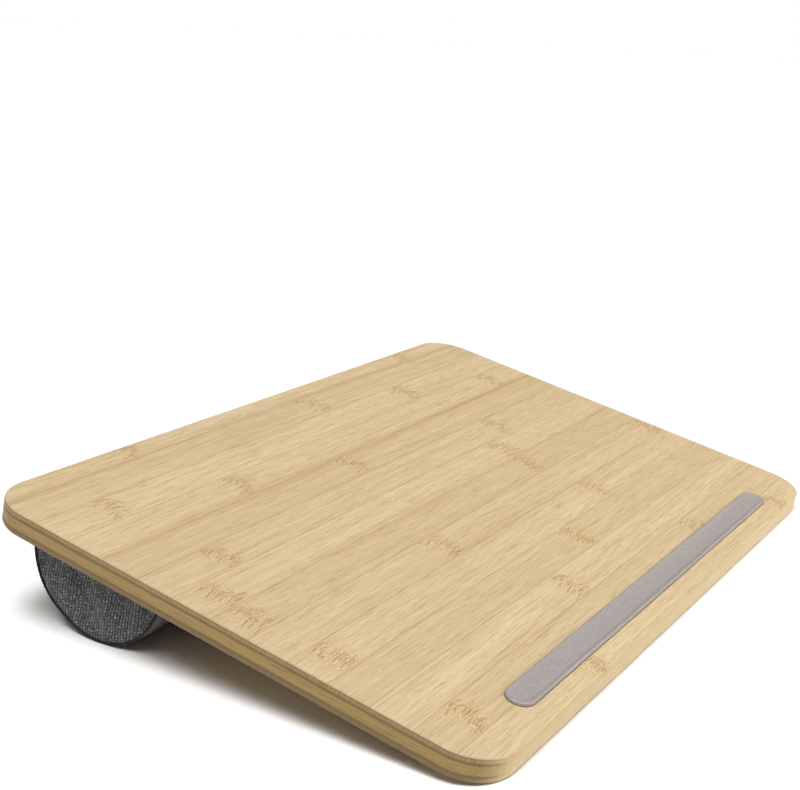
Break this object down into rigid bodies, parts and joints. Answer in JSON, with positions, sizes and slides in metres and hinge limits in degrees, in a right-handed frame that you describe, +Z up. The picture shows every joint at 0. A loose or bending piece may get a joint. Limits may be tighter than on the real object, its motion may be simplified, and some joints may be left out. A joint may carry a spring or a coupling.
{
  "type": "lap desk with half-round cushion",
  "caption": "Thin bamboo lap desk with rounded corners, a grey stop strip along its front and a half-round fabric cushion under its rear that tilts it to the user.",
  "frame": {"origin": "middle of the footprint, on the surface that the desk rests on", "axes": "+X to the user's right along the board's long side, +Y away from the user, +Z up; the board's top face leans back towards -Y by 10.97 degrees"},
  "size_m": [0.416, 0.267, 0.0627],
  "materials": {
    "bamboo_face": "satin",
    "bamboo_core": "satin",
    "bamboo_back": "satin",
    "grey_silicone": "matte",
    "adhesive": "matte",
    "hook_tape": "matte",
    "loop_tape": "matte",
    "foam": "matte",
    "grey_fabric": "matte",
    "black_piping": "matte",
    "zip_tape": "matte",
    "zip_coil": "satin",
    "zip_metal": "satin"
  },
  "bodies": {
    "board": {"top_ply": "bamboo_face", "core_ply": "bamboo_core", "bottom_ply": "bamboo_back", "stop_strip": "grey_silicone", "strip_adhesive": "adhesive", "hook_tape_front": "hook_tape", "hook_tape_rear": "hook_tape"},
    "cushion": {"foam_core": "foam", "cover_curved": "grey_fabric", "cover_top": "grey_fabric", "cover_end_left": "grey_fabric", "cover_end_right": "grey_fabric", "piping_left": "black_piping", "piping_right": "black_piping", "loop_tape_front": "loop_tape", "loop_tape_rear": "loop_tape", "zip_tape_upper": "zip_tape", "zip_tape_lower": "zip_tape", "zip_coil_upper": "zip_coil", "zip_coil_lower": "zip_coil", "zip_stop_closed": "zip_metal", "zip_stop_open": "zip_metal"},
    "zip_slider": {"zip_slider": "zip_metal"},
    "zip_pull": {"zip_pull": "zip_metal"}
  },
  "joints": [
    {"name": "board_removal", "type": "slide", "parent": "cushion", "child": "board", "axis": [0, -0.1902, 0.9817], "range_m": [0, 0.05]},
    {"name": "zip_slide", "type": "slide", "parent": "cushion", "child": "zip_slider", "axis": [-1, 0, 0], "range_m": [0, 0.3]},
    {"name": "zip_pull_swing", "type": "hinge", "parent": "zip_slider", "child": "zip_pull", "pos_m": [0.15025, 0.11719, 0.03788], "axis": [0, -0.0006, -1], "range_deg": [0, 170]}
  ]
}
